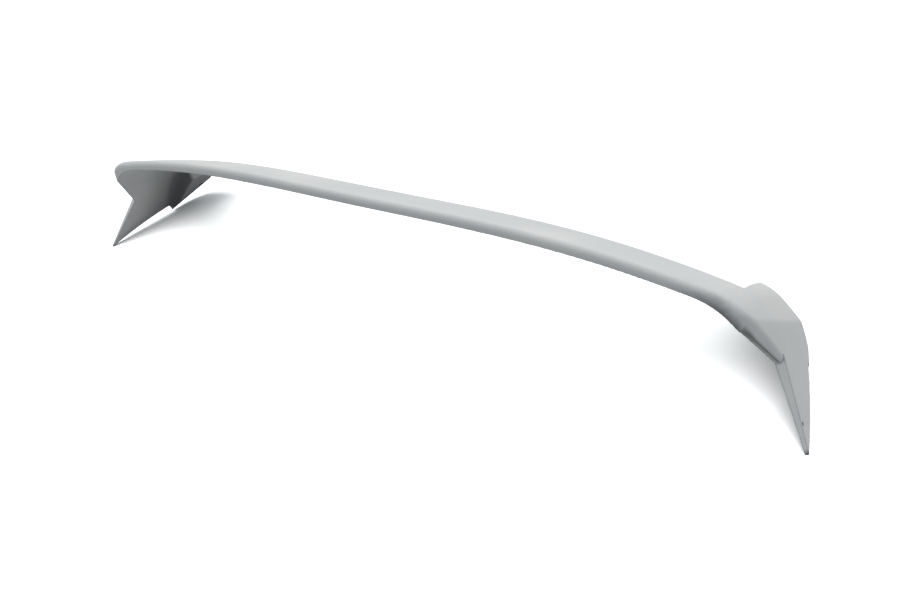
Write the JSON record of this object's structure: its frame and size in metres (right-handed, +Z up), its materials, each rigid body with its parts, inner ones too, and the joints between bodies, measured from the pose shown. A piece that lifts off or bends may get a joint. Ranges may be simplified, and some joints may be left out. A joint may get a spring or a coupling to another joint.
{
  "type": "car rear spoiler",
  "caption": "Moulded rear spoiler for a hatchback: an arched blade that turns down over rounded shoulders into leaning fins with a swallow-tail notch, a spike and a mounting tongue.",
  "frame": {"origin": "middle of the part on the floor that its spike tips and heels stand on", "axes": "+X across the car to its right side, +Y from the trailing edge towards the mounting tongues and the front of the car, +Z up"},
  "size_m": [1.154, 0.214, 0.2176],
  "materials": {
    "primer": "satin grey primer"
  },
  "bodies": {
    "root": {"spoiler": "primer"}
  },
  "joints": []
}
